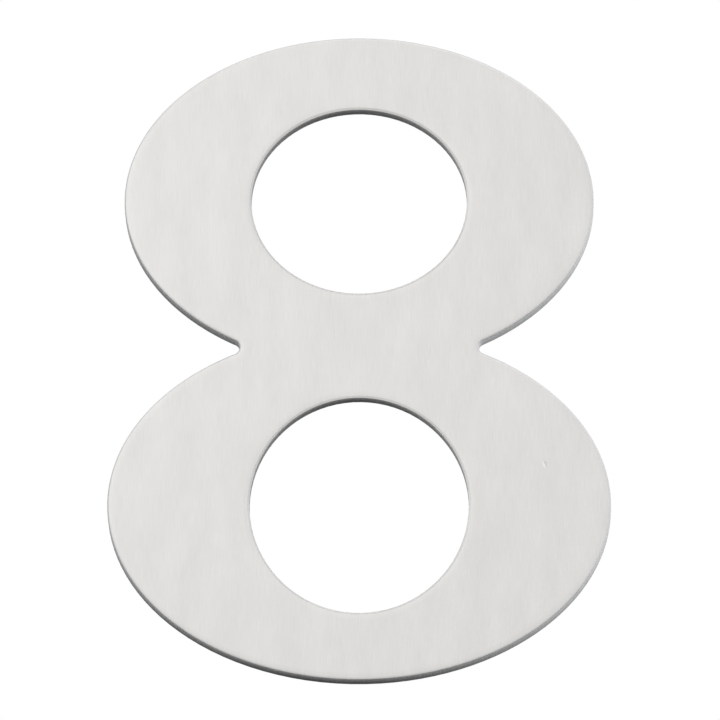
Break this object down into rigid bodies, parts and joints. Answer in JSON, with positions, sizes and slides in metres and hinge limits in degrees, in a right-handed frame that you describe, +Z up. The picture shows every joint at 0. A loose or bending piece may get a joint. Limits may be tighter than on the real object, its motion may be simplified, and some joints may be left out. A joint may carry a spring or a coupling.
{
  "type": "house number",
  "caption": "Flat brushed stainless steel house numeral of overlapping elliptical rings, with eased front edges and blind tapped holes in the back for a hidden stud fixing to a wall or door.",
  "frame": {"origin": "middle of the flat back face, half way up and half way across the numeral, on the plane of the wall", "axes": "+Z up the numeral, +Y out of its back into the wall, +X to the right as it is read from the front"},
  "size_m": [0.1148, 0.005, 0.15],
  "materials": {
    "brushed_plate": "brushed along the height, satin, with a duller cut edge"
  },
  "bodies": {
    "root": {"numeral_plate": "brushed_plate"}
  },
  "joints": []
}
